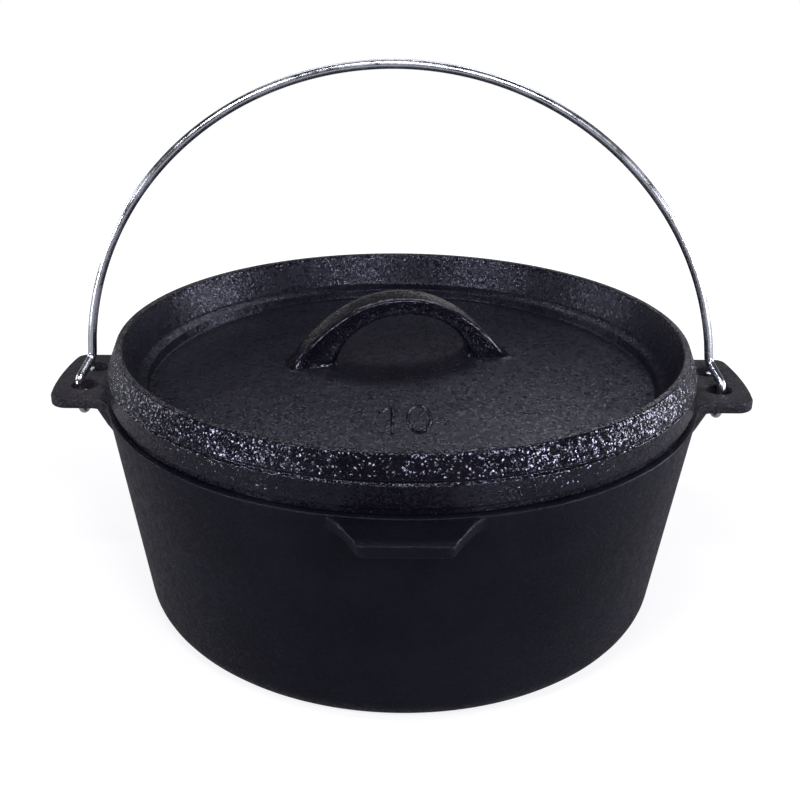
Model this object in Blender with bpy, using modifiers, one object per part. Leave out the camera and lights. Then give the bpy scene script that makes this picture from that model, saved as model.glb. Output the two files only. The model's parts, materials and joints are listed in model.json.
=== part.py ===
"""A cast iron bread pot: flat-based pot, recessed lid with a strap handle, and a wire bail.

The pot stands on z = 0 with its axis on Z. Its two pierced ears lie along X, its lifting tab
faces -Y, and the bail stands upright in the plane y = 0. All sizes are in metres.
"""

import math

import bmesh
import bpy
from mathutils import Matrix, Vector

# Turned shapes
TURN_STEPS = 84
MERGE = 0.00001

# Pot casting
RIM_RADIUS = 0.1330
RIM_HEIGHT = 0.1010
WALL_LEAN = 0.0145
WALL = 0.0048
FLOOR = 0.0052
BASE_CORNER = 0.0125
RIM_ROUNDING = 0.0008

# Pierced ears
EAR_REACH = 0.0254
EAR_HALF_WIDTH = 0.0271
EAR_THICKNESS = 0.0052
EAR_DROP = 0.0004
EAR_BACK_CORNER = 0.0080
EAR_FRONT_CORNER = 0.0140
EAR_FILLET = 0.0100
EAR_HOLE_CLEARANCE = 0.0041
EAR_HOLE_OFFSET = 0.0110
EAR_BAR_WIDTH = 0.0095
PLATE_BEVEL = 0.0008

# Gusset under each ear
GUSSET_REACH = 0.0074
GUSSET_DEPTH = 0.0250
GUSSET_FILLET = 0.0070
GUSSET_HALF_ANGLE = math.radians(10.4)

# Lifting tab
TAB_REACH = 0.0174
TAB_ROOT_HALF_WIDTH = 0.0280
TAB_TIP_HALF_WIDTH = 0.0166
TAB_THICKNESS = 0.0052
TAB_CORNER = 0.0050

# Lid casting
LID_THICKNESS = 0.0040
SEAT_GAP = 0.0003
SEAT_WIDTH = 0.0018
PLUG_CLEARANCE = 0.0008
PLUG_DEPTH = 0.0026
PLUG_WIDTH = 0.0042
BAND_INSET = 0.0014
BAND_LIFT = 0.0032
BAND_HEIGHT = 0.0100
GROOVE_DEPTH = 0.0008
GROOVE_HALF_HEIGHT = 0.0007
FLANGE_HEIGHT = 0.0232
FLANGE_LEAN = 0.0040
LIP = 0.0029
LEDGE_INSET = 0.0101
LEDGE_LIFT = 0.0069
STEP_INSET = 0.0029
PANEL_LIFT = 0.0015
DOME_RISE = 0.0090

# Strap handle of the lid
HANDLE_TURN = math.radians(10)
HANDLE_SHIFT_X = -0.0022
HANDLE_SHIFT_Y = 0.0015
HANDLE_HALF_LENGTH = 0.0510
HANDLE_RISE = 0.0310
HANDLE_CURVE = 2.1
HANDLE_THICKNESS = 0.0078
HANDLE_ARCH_HALF_WIDTH = 0.0305
HANDLE_ARCH_SHIFT = 0.0015
HANDLE_HALF_WIDTH = 0.0079
HANDLE_ROUNDING = 0.0024
HANDLE_SINK = 0.0016
HANDLE_STATIONS = 24

# Raised number 10
DIGIT_HEIGHT = 0.0235
DIGIT_WIDTH = 0.0112
DIGIT_STROKE = 0.0009
DIGIT_RELIEF = 0.0006
DIGIT_CENTRE_Y = -0.0640
ZERO_X = 0.0062
ONE_X = -0.0048

# Bail
WIRE_RADIUS = 0.0020
WIRE_OUTSET = 0.0022
BAIL_SHIFT = 0.0006
BAIL_LEG_INSET = 0.0039
BAIL_CENTRE_LIFT = 0.0010
LEG_STRAIGHT = 0.0045
LEG_KINK = 0.0120
LOOP_HALF_WIDTH = 0.0100
LOOP_DEPTH = 0.0120
TIP_LENGTH = 0.0025
BEND_RADIUS = 0.0060
KINK_RADIUS = 0.0045
BAIL_LEAN = 0.0040
ARCH_POINTS = 44

# Sizes that follow from the ones above
EAR_RADIUS = RIM_RADIUS + EAR_REACH
EAR_TOP = RIM_HEIGHT - EAR_DROP
EAR_MIDDLE = EAR_TOP - EAR_THICKNESS / 2
EAR_BOTTOM = EAR_TOP - EAR_THICKNESS
EAR_HOLE_RADIUS = WIRE_RADIUS + EAR_HOLE_CLEARANCE
HOLE_X = RIM_RADIUS + EAR_HOLE_OFFSET
HOLE_Y = EAR_BAR_WIDTH / 2 + EAR_HOLE_RADIUS
MOUTH_RADIUS = RIM_RADIUS - WALL
ROOT_RADIUS = RIM_RADIUS - WALL / 2
WIRE_X = HOLE_X + WIRE_OUTSET
BAIL_CENTRE = EAR_MIDDLE + BAIL_CENTRE_LIFT
BAIL_RADIUS = WIRE_X - BAIL_LEG_INSET
BAND_RADIUS = RIM_RADIUS - BAND_INSET
LIP_RADIUS = BAND_RADIUS - FLANGE_LEAN
LEDGE_RADIUS = LIP_RADIUS - LEDGE_INSET
PANEL_RADIUS = LEDGE_RADIUS - STEP_INSET


def clear_scene():
    """Removes every object that the scene starts with."""
    for obj in list(bpy.data.objects):
        bpy.data.objects.remove(obj, do_unlink=True)


def new_collection(name):
    """Returns a new collection linked to the scene."""
    collection = bpy.data.collections.new(name)
    bpy.context.scene.collection.children.link(collection)
    return collection


def new_material(name, colour, roughness, metallic):
    """Returns a Principled material with one plain finish."""
    material = bpy.data.materials.new(name)
    material.use_nodes = True
    shader = material.node_tree.nodes["Principled BSDF"]
    shader.inputs["Base Color"].default_value = (*colour, 1.0)
    shader.inputs["Roughness"].default_value = roughness
    shader.inputs["Metallic"].default_value = metallic
    material.diffuse_color = (*colour, 1.0)
    return material


def add_object(name, data, collection):
    """Adds an object that holds the given data."""
    obj = bpy.data.objects.new(name, data)
    collection.objects.link(obj)
    return obj


def add_cutter(name, mesh):
    """Adds a helper solid that a Boolean joins or cuts with, and that no render shows."""
    obj = add_object(name, mesh, CUTTERS)
    obj.hide_render = True
    obj.display_type = "WIRE"
    return obj


def arc(centre_x, centre_y, radius, start, end, count):
    """Returns count + 1 points along an arc, with its angles in degrees."""
    angles = [math.radians(start + (end - start) * i / count) for i in range(count + 1)]
    return [(centre_x + radius * math.cos(a), centre_y + radius * math.sin(a)) for a in angles]


def rounded_corner(before, corner, after, radius, count):
    """Returns points that round one corner of an outline, tangent to both of its sides."""
    corner = Vector(corner)
    to_before = (Vector(before) - corner).normalized()
    to_after = (Vector(after) - corner).normalized()
    half = to_before.angle(to_after) / 2
    reach = radius / math.tan(half)
    start = corner + to_before * reach
    end = corner + to_after * reach
    centre = corner + (to_before + to_after).normalized() * (radius / math.sin(half))
    points = []
    for i in range(count + 1):
        mixed = start.lerp(end, i / count) - centre
        points.append(tuple(centre + mixed.normalized() * radius))
    return points


def wall_radius(height):
    """Returns the outer radius of the pot's leaning wall at a height."""
    return RIM_RADIUS - WALL_LEAN * (1 - height / RIM_HEIGHT)


def turned_mesh(name, profile):
    """Returns the mesh of a profile, given as (radius, height) pairs, turned round the Z axis."""
    mesh = bpy.data.meshes.new(name + "_profile")
    edges = [(i, i + 1) for i in range(len(profile) - 1)]
    mesh.from_pydata([(r, 0.0, z) for r, z in profile], edges, [])
    obj = bpy.data.objects.new(name + "_turned", mesh)
    bpy.context.scene.collection.objects.link(obj)
    screw = obj.modifiers.new("turn", "SCREW")
    screw.steps = TURN_STEPS
    screw.render_steps = TURN_STEPS
    screw.use_merge_vertices = True
    screw.merge_threshold = MERGE
    screw.use_normal_calculate = True
    return baked(obj)


def baked(obj):
    """Returns the evaluated mesh of a helper object, welded, and removes the helper."""
    bpy.context.view_layer.update()
    graph = bpy.context.evaluated_depsgraph_get()
    mesh = bpy.data.meshes.new_from_object(obj.evaluated_get(graph))
    mesh.transform(obj.matrix_world)
    bpy.data.objects.remove(obj, do_unlink=True)
    shape = bmesh.new()
    shape.from_mesh(mesh)
    bmesh.ops.remove_doubles(shape, verts=shape.verts, dist=MERGE)
    bmesh.ops.recalc_face_normals(shape, faces=shape.faces)
    shape.to_mesh(mesh)
    shape.free()
    return mesh


def plate_mesh(name, outline, thickness, bevel, bevel_segments=1, placing=None):
    """Returns a flat plate of the given outline, centred on its own plane, with eased edges."""
    curve = bpy.data.curves.new(name, "CURVE")
    curve.dimensions = "2D"
    curve.fill_mode = "BOTH"
    curve.extrude = thickness / 2
    spline = curve.splines.new("POLY")
    spline.points.add(len(outline) - 1)
    for point, (x, y) in zip(spline.points, outline):
        point.co = (x, y, 0.0, 1.0)
    spline.use_cyclic_u = True
    flat = bpy.data.objects.new(name + "_curve", curve)
    bpy.context.scene.collection.objects.link(flat)
    mesh = baked(flat)
    solid = bpy.data.objects.new(name + "_solid", mesh)
    bpy.context.scene.collection.objects.link(solid)
    if placing is not None:
        solid.matrix_world = placing
    if bevel > 0:
        ease = solid.modifiers.new("ease", "BEVEL")
        ease.width = bevel
        ease.segments = bevel_segments
        ease.limit_method = "ANGLE"
        ease.angle_limit = math.radians(60)
    return baked(solid)


def join(obj, other, name, operation="UNION"):
    """Adds a Boolean that joins a helper to an object or cuts it away."""
    modifier = obj.modifiers.new(name, "BOOLEAN")
    modifier.operation = operation
    modifier.solver = "EXACT"
    modifier.object = other


def pot_profile():
    """Returns the pot's section from the inside of its floor, over its rim, to its underside."""
    lean = math.degrees(math.atan(WALL_LEAN / RIM_HEIGHT))
    tangent = math.radians(90 - lean)
    outer_centre = wall_radius(BASE_CORNER) - BASE_CORNER / math.sin(tangent)
    inner_corner = BASE_CORNER - WALL / 3
    inner_height = FLOOR + inner_corner
    inner_centre = wall_radius(inner_height) - WALL - inner_corner / math.sin(tangent)
    rim = RIM_ROUNDING
    points = [(0.0, FLOOR)]
    points += arc(inner_centre, inner_height, inner_corner, -90, -lean, 6)
    points += [(MOUTH_RADIUS, RIM_HEIGHT - rim), (MOUTH_RADIUS + rim, RIM_HEIGHT)]
    points += arc(RIM_RADIUS - rim, RIM_HEIGHT - rim, rim, 90, -lean, 2)
    points += arc(outer_centre, BASE_CORNER, BASE_CORNER, -lean, -90, 6)
    points += [(0.0, 0.0)]
    return points


def ear_side(corner_radius):
    """Returns one long side of an ear, from its rim fillet to its corner, and its two end angles."""
    rim = RIM_RADIUS - WALL / 8
    reach = rim + EAR_FILLET
    centre_y = EAR_HALF_WIDTH + EAR_FILLET
    centre_x = math.sqrt(reach * reach - centre_y * centre_y)
    tangent = math.degrees(math.atan2(centre_y, centre_x))
    fillet = arc(centre_x, centre_y, EAR_FILLET, 180 + tangent, 270, 5)
    corner_y = EAR_HALF_WIDTH - corner_radius
    corner_reach = EAR_RADIUS - corner_radius
    corner_x = math.sqrt(corner_reach * corner_reach - corner_y * corner_y)
    corner_end = math.degrees(math.atan2(corner_y, corner_x))
    corner = arc(corner_x, corner_y, corner_radius, 90, corner_end, 5)
    root_angle = math.atan2(fillet[0][1], fillet[0][0])
    root = (ROOT_RADIUS * math.cos(root_angle), ROOT_RADIUS * math.sin(root_angle))
    return [root] + fillet + corner, math.degrees(root_angle), corner_end


def ear_outline(side):
    """Returns the plan outline of the ear at +X or -X, rooted inside the wall's thickness."""
    back, root_angle, back_angle = ear_side(EAR_BACK_CORNER)
    front, _, front_angle = ear_side(EAR_FRONT_CORNER)
    front = [(x, -y) for x, y in reversed(front)]
    tip = arc(0.0, 0.0, EAR_RADIUS, back_angle, -front_angle, 6)[1:-1]
    root = arc(0.0, 0.0, ROOT_RADIUS, -root_angle, root_angle, 8)[1:-1]
    return [(side * x, y) for x, y in back + tip + front + root]


def gusset_mesh():
    """Returns the rib under the ear at +X, turned through a short arc of the wall."""
    foot = EAR_BOTTOM - GUSSET_DEPTH
    under_plate = (EAR_RADIUS, EAR_BOTTOM)
    corner = (RIM_RADIUS + GUSSET_REACH, EAR_BOTTOM)
    toe = (wall_radius(foot) - WALL / 6, foot)
    fillet = rounded_corner(under_plate, corner, toe, GUSSET_FILLET, 6)
    section = [(ROOT_RADIUS, EAR_MIDDLE), (fillet[0][0], EAR_MIDDLE)]
    section += fillet + [toe, (wall_radius(foot) - WALL / 2, foot)]
    shape = bmesh.new()
    corners = [shape.verts.new((r, 0.0, z)) for r, z in section]
    face = shape.faces.new(corners)
    turn_back = Matrix.Rotation(-GUSSET_HALF_ANGLE, 3, "Z")
    bmesh.ops.rotate(shape, verts=shape.verts, matrix=turn_back)
    bmesh.ops.spin(
        shape,
        geom=[face] + list(face.edges) + list(face.verts),
        axis=(0.0, 0.0, 1.0),
        cent=(0.0, 0.0, 0.0),
        angle=2 * GUSSET_HALF_ANGLE,
        steps=6,
    )
    bmesh.ops.remove_doubles(shape, verts=shape.verts, dist=MERGE)
    bmesh.ops.recalc_face_normals(shape, faces=shape.faces)
    mesh = bpy.data.meshes.new("gusset")
    shape.to_mesh(mesh)
    shape.free()
    return mesh


def hole_pins_mesh():
    """Returns the four upright pins that pierce the ears."""
    shape = bmesh.new()
    for x in (-HOLE_X, HOLE_X):
        for y in (-HOLE_Y, HOLE_Y):
            bmesh.ops.create_cone(
                shape,
                cap_ends=True,
                segments=32,
                radius1=EAR_HOLE_RADIUS,
                radius2=EAR_HOLE_RADIUS,
                depth=4 * EAR_THICKNESS,
                matrix=Matrix.Translation((x, y, EAR_MIDDLE)),
            )
    mesh = bpy.data.meshes.new("hole_pins")
    shape.to_mesh(mesh)
    shape.free()
    return mesh


def tab_outline():
    """Returns the plan outline of the lifting tab at -Y, rooted inside the wall's thickness."""
    root_y = -math.sqrt(ROOT_RADIUS ** 2 - TAB_ROOT_HALF_WIDTH ** 2)
    tip_y = -(RIM_RADIUS + TAB_REACH)
    left_root = (-TAB_ROOT_HALF_WIDTH, root_y)
    left_tip = (-TAB_TIP_HALF_WIDTH, tip_y)
    right_tip = (TAB_TIP_HALF_WIDTH, tip_y)
    right_root = (TAB_ROOT_HALF_WIDTH, root_y)
    points = [left_root]
    points += rounded_corner(left_root, left_tip, right_tip, TAB_CORNER, 4)
    points += rounded_corner(left_tip, right_tip, right_root, TAB_CORNER, 4)
    points.append(right_root)
    spread = math.degrees(math.asin(TAB_ROOT_HALF_WIDTH / ROOT_RADIUS))
    points += arc(0.0, 0.0, ROOT_RADIUS, -90 + spread, -90 - spread, 8)[1:-1]
    return points


def build_pot(parts):
    """Builds the pot casting with its ears, gussets, holes and lifting tab."""
    pot = add_object("pot", turned_mesh("pot", pot_profile()), parts)
    gusset = gusset_mesh()
    for name, side, turn in (("right", 1, 0.0), ("left", -1, math.pi)):
        ear = plate_mesh("ear_" + name, ear_outline(side), EAR_THICKNESS, PLATE_BEVEL)
        plate = add_cutter("ear_" + name, ear)
        plate.location.z = EAR_MIDDLE
        rib = add_cutter("gusset_" + name, gusset)
        rib.rotation_euler.z = turn
        join(pot, plate, "ear_" + name)
        join(pot, rib, "gusset_" + name)
    tab = add_cutter("tab", plate_mesh("tab", tab_outline(), TAB_THICKNESS, PLATE_BEVEL))
    tab.location.z = EAR_TOP - TAB_THICKNESS / 2
    join(pot, tab, "tab")
    pins = add_cutter("ear_holes", hole_pins_mesh())
    join(pot, pins, "ear_holes", "DIFFERENCE")
    return pot


def dome_height(radius):
    """Returns the height of the lid's panel over the pot's rim at a radius."""
    return PANEL_LIFT + DOME_RISE * (1 - (radius / PANEL_RADIUS) ** 2)


def lid_profile():
    """Returns the lid's section, with heights over the rim, from the panel's middle to its underside."""
    band_top = BAND_LIFT + BAND_HEIGHT
    lip_inner = LIP_RADIUS - LIP
    plug_radius = MOUTH_RADIUS - PLUG_CLEARANCE
    plug_inner = plug_radius - PLUG_WIDTH
    seat_outer = MOUTH_RADIUS + RIM_ROUNDING / 2 + SEAT_WIDTH
    channel_roof = LEDGE_LIFT - LID_THICKNESS - 0.0006
    channel_radius = LEDGE_RADIUS + 0.0010
    ease = 0.0007
    dome_steps = 7
    panel = [PANEL_RADIUS * i / dome_steps for i in range(dome_steps + 1)]
    points = [(r, dome_height(r)) for r in panel]
    points += [
        (PANEL_RADIUS + 0.0007, LEDGE_LIFT - 0.0016),
        (PANEL_RADIUS + 0.0016, LEDGE_LIFT - 0.0004),
        (LEDGE_RADIUS, LEDGE_LIFT),
        (LEDGE_RADIUS + 0.0016, LEDGE_LIFT + 0.0012),
        (lip_inner, FLANGE_HEIGHT - ease),
        (lip_inner + ease, FLANGE_HEIGHT),
        (LIP_RADIUS - ease, FLANGE_HEIGHT),
        (LIP_RADIUS, FLANGE_HEIGHT - ease),
        (BAND_RADIUS - GROOVE_DEPTH / 2, band_top + GROOVE_HALF_HEIGHT),
        (BAND_RADIUS - GROOVE_DEPTH, band_top),
        (BAND_RADIUS, band_top - GROOVE_HALF_HEIGHT),
        (BAND_RADIUS, BAND_LIFT + ease),
        (BAND_RADIUS - ease, BAND_LIFT),
        (seat_outer, BAND_LIFT),
        (seat_outer, SEAT_GAP),
        (plug_radius, SEAT_GAP),
        (plug_radius, ease - PLUG_DEPTH),
        (plug_radius - ease, -PLUG_DEPTH),
        (plug_inner + ease, -PLUG_DEPTH),
        (plug_inner, ease - PLUG_DEPTH),
        (plug_inner, channel_roof),
        (channel_radius + ease, channel_roof),
        (channel_radius, channel_roof - ease),
        (channel_radius, -PLUG_DEPTH + 0.0006),
    ]
    points += [(r, dome_height(r) - LID_THICKNESS) for r in reversed(panel)]
    return points


def handle_ring(outer, inner):
    """Returns the rounded section of the strap between a point of its crown and one of its arch."""
    outer = Vector((outer[0], 0.0, outer[1]))
    inner = Vector((inner[0], 0.0, inner[1]))
    middle = (outer + inner) / 2
    along = (outer - inner) / 2
    depth = along.length
    round_off = min(HANDLE_ROUNDING, depth * 0.8)
    ring = []
    for side_y, side_z in ((1, 1), (-1, 1), (-1, -1), (1, -1)):
        centre_y = side_y * (HANDLE_HALF_WIDTH - round_off)
        centre_z = side_z * (depth - round_off)
        start = {(1, 1): 0, (-1, 1): 90, (-1, -1): 180, (1, -1): 270}[side_y, side_z]
        for y, z in arc(centre_y, centre_z, round_off, start, start + 90, 3):
            ring.append(middle + Vector((0.0, y, 0.0)) + along * (z / depth))
    return ring


def handle_mesh():
    """Returns the strap handle, standing over the rim's height, with its feet sunk in the panel."""
    crown = dome_height(HANDLE_HALF_LENGTH) + HANDLE_RISE
    arch_foot = dome_height(HANDLE_ARCH_HALF_WIDTH) - HANDLE_SINK
    arch_rise = crown - HANDLE_THICKNESS - arch_foot
    stations = []
    for i in range(HANDLE_STATIONS + 1):
        t = 2 * i / HANDLE_STATIONS - 1
        outer = (HANDLE_HALF_LENGTH * t, crown - HANDLE_RISE * abs(t) ** HANDLE_CURVE)
        turn = math.pi * t / 2
        arch_x = HANDLE_ARCH_SHIFT + HANDLE_ARCH_HALF_WIDTH * math.sin(turn)
        stations.append((outer, (arch_x, arch_foot + arch_rise * math.cos(turn))))
    for place, (outer, inner) in ((0, stations[0]), (len(stations) + 1, stations[-1])):
        sunk_outer = (outer[0], outer[1] - HANDLE_SINK)
        sunk_inner = (inner[0], inner[1] - HANDLE_SINK)
        stations.insert(place, (sunk_outer, sunk_inner))
    shape = bmesh.new()
    rings = []
    for outer, inner in stations:
        rings.append([shape.verts.new(point) for point in handle_ring(outer, inner)])
    for ring, following in zip(rings, rings[1:]):
        for i, corner in enumerate(ring):
            j = (i + 1) % len(ring)
            shape.faces.new((corner, ring[j], following[j], following[i]))
    shape.faces.new(rings[0])
    shape.faces.new(rings[-1])
    bmesh.ops.recalc_face_normals(shape, faces=shape.faces)
    mesh = bpy.data.meshes.new("handle")
    shape.to_mesh(mesh)
    shape.free()
    return mesh


def stroke_mesh(name, outline):
    """Returns a raised bar of a digit, tall enough to pass through the panel's surface."""
    return plate_mesh(name, outline, 4 * DIGIT_RELIEF, 0.0)


def ring_stroke(name, half_width, half_height):
    """Returns the closed oval stroke of a nought, made by one outline inside another."""
    curve = bpy.data.curves.new(name, "CURVE")
    curve.dimensions = "2D"
    curve.fill_mode = "BOTH"
    curve.extrude = 2 * DIGIT_RELIEF
    for inset in (0.0, 2 * DIGIT_STROKE):
        spline = curve.splines.new("POLY")
        count = 24
        spline.points.add(count - 1)
        for i, point in enumerate(spline.points):
            angle = 2 * math.pi * i / count
            x = (half_width - inset) * math.cos(angle)
            y = (half_height - inset) * math.sin(angle)
            point.co = (x, y, 0.0, 1.0)
        spline.use_cyclic_u = True
    flat = bpy.data.objects.new(name + "_curve", curve)
    bpy.context.scene.collection.objects.link(flat)
    return baked(flat)


def place_digit(obj, x):
    """Lays a digit on the panel so that its relief stands out of the dome's slope."""
    radius = math.hypot(x, DIGIT_CENTRE_Y)
    slope = math.atan(2 * DOME_RISE * radius / PANEL_RADIUS ** 2)
    surface = RIM_HEIGHT + dome_height(radius)
    obj.location = (x, DIGIT_CENTRE_Y, surface - DIGIT_RELIEF)
    obj.rotation_euler.x = slope


def build_lid(parts):
    """Builds the lid casting with its strap handle and raised number."""
    lid = add_object("lid", turned_mesh("lid", lid_profile()), parts)
    lid.location.z = RIM_HEIGHT
    handle = add_cutter("lid_handle", handle_mesh())
    handle.location = (HANDLE_SHIFT_X, HANDLE_SHIFT_Y, RIM_HEIGHT)
    handle.rotation_euler.z = HANDLE_TURN
    join(lid, handle, "handle")
    half = DIGIT_HEIGHT / 2
    stroke = DIGIT_STROKE
    flag = DIGIT_WIDTH * 0.45
    one = [
        (-stroke, -half),
        (stroke, -half),
        (stroke, half),
        (-stroke, half),
        (-stroke - flag, half * 0.42),
        (-stroke - flag, half * 0.42 - 2.2 * stroke),
        (-stroke, half * 0.72),
    ]
    digit = add_cutter("digit_one", stroke_mesh("digit_one", one))
    place_digit(digit, ONE_X)
    join(lid, digit, "digit_one")
    nought = add_cutter("digit_nought", ring_stroke("digit_nought", DIGIT_WIDTH / 2, half))
    place_digit(nought, ZERO_X)
    join(lid, nought, "digit_nought")
    return lid


def bail_leg():
    """Returns the path of the leg at +X, from its free tip round the ear's bar to the arch."""
    kink_angle = math.asin((LEG_KINK - BAIL_CENTRE_LIFT) / BAIL_RADIUS)
    above = kink_angle + math.radians(4)
    corners = [
        (WIRE_X, LOOP_HALF_WIDTH, TIP_LENGTH),
        (WIRE_X, LOOP_HALF_WIDTH, -LOOP_DEPTH),
        (WIRE_X, -LOOP_HALF_WIDTH, -LOOP_DEPTH),
        (WIRE_X, -LOOP_HALF_WIDTH, LEG_STRAIGHT),
        (BAIL_RADIUS * math.cos(kink_angle), 0.0, LEG_KINK),
        (BAIL_RADIUS * math.cos(above), 0.0, BAIL_CENTRE_LIFT + BAIL_RADIUS * math.sin(above)),
    ]
    radii = (BEND_RADIUS, BEND_RADIUS, KINK_RADIUS, KINK_RADIUS)
    path = [Vector(corners[0])]
    for before, corner, after, radius in zip(corners, corners[1:], corners[2:], radii):
        bend = rounded_corner(before, corner, after, radius, 5)
        path += [Vector(point) for point in bend]
    path.append(Vector(corners[-1]))
    return path, above


def bail_path():
    """Returns the whole wire's path, relative to the hinge axis."""
    right, above = bail_leg()
    arch = []
    for i in range(1, ARCH_POINTS):
        angle = above + (math.pi - 2 * above) * i / ARCH_POINTS
        x = BAIL_RADIUS * math.cos(angle)
        arch.append(Vector((x, 0.0, BAIL_CENTRE_LIFT + BAIL_RADIUS * math.sin(angle))))
    left = [Vector((-p.x, p.y, p.z)) for p in reversed(right)]
    path = right + arch + left
    for point in path:
        height = max(0.0, point.z - LEG_KINK)
        point.x -= BAIL_SHIFT + BAIL_LEAN * height / BAIL_RADIUS
    return path


def build_bail(parts):
    """Builds the wire bail with its origin on the hinge axis between the two ears."""
    curve = bpy.data.curves.new("bail", "CURVE")
    curve.dimensions = "3D"
    curve.bevel_depth = WIRE_RADIUS
    curve.bevel_resolution = 3
    curve.use_fill_caps = True
    path = bail_path()
    spline = curve.splines.new("POLY")
    spline.points.add(len(path) - 1)
    for point, place in zip(spline.points, path):
        point.co = (*place, 1.0)
    wire = bpy.data.objects.new("bail_curve", curve)
    bpy.context.scene.collection.objects.link(wire)
    bail = add_object("bail", baked(wire), parts)
    bail.location.z = EAR_MIDDLE
    return bail


def finish(obj, material):
    """Gives a part its material, with round faces smooth and real edges sharp."""
    obj.data.materials.clear()
    obj.data.materials.append(material)
    obj.data.shade_smooth()
    obj.data.set_sharp_from_angle(angle=math.radians(35))


clear_scene()
PARTS = new_collection("bread_pot")
CUTTERS = new_collection("cutters")
finish(build_pot(PARTS), new_material("pot_iron", (0.020, 0.020, 0.023), 0.48, 0.55))
finish(build_lid(PARTS), new_material("lid_iron", (0.024, 0.024, 0.028), 0.45, 0.55))
finish(build_bail(PARTS), new_material("plated_wire", (0.78, 0.80, 0.82), 0.18, 1.0))
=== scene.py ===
"""Looks of a cast iron bread pot: a sand-cast pot and lid and a bent wire bail, on a plain studio floor."""

import json
import logging
import math
from dataclasses import dataclass
from enum import Enum
from typing import Callable, Sequence

import bmesh
import bpy
from mathutils import Matrix, Vector

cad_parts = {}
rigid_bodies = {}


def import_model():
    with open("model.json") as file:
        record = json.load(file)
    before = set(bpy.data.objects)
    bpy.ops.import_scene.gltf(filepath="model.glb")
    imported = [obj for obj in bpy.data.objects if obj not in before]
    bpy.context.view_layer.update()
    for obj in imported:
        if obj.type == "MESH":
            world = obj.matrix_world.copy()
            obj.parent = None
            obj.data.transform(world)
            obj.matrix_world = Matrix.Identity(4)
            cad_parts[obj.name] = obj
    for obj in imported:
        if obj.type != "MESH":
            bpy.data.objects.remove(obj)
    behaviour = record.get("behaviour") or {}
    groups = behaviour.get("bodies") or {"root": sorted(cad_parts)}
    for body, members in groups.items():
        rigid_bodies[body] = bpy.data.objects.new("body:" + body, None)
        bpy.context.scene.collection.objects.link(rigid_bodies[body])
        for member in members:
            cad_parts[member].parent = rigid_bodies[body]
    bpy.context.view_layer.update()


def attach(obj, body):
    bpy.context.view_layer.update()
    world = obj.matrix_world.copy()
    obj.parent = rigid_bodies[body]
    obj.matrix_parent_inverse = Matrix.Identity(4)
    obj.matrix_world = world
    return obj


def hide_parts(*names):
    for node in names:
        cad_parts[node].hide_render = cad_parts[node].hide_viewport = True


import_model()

LOG = logging.getLogger("bread_pot")

Pair = tuple[float, float]
Point = tuple[float, float, float]
Place = Sequence[float]
Piece = bpy.types.Object
Socket = bpy.types.NodeSocket

ORIGIN = (0.0, 0.0, 0.0)
STRAIGHT = math.radians(178)  # a corner wider than this isn't rounded
SIDE_SHARE = 0.49  # the most of a side that one round may take
HOLLOW = math.radians(20)  # an inner corner turns at least this much
SHARP = math.radians(60)  # the edge of a flat face turns at least this much
ROUND_STEPS = 8
AHEAD = 0.02  # how far off a point lies that only gives a line its direction


class Body(Enum):
    """The rigid bodies that the pieces ride on."""

    POT = "pot"
    LID = "lid"
    BAIL = "bail"


class Slot(Enum):
    """The record's material slots."""

    POT = "pot_iron"
    LID = "lid_iron"
    WIRE = "plated_wire"


class Kind(Enum):
    """What is picked in edit mode."""

    EDGE = "EDGE"
    FACE = "FACE"


class Join(Enum):
    """How another body is merged with a piece."""

    ADD = "UNION"
    CUT = "DIFFERENCE"


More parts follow.
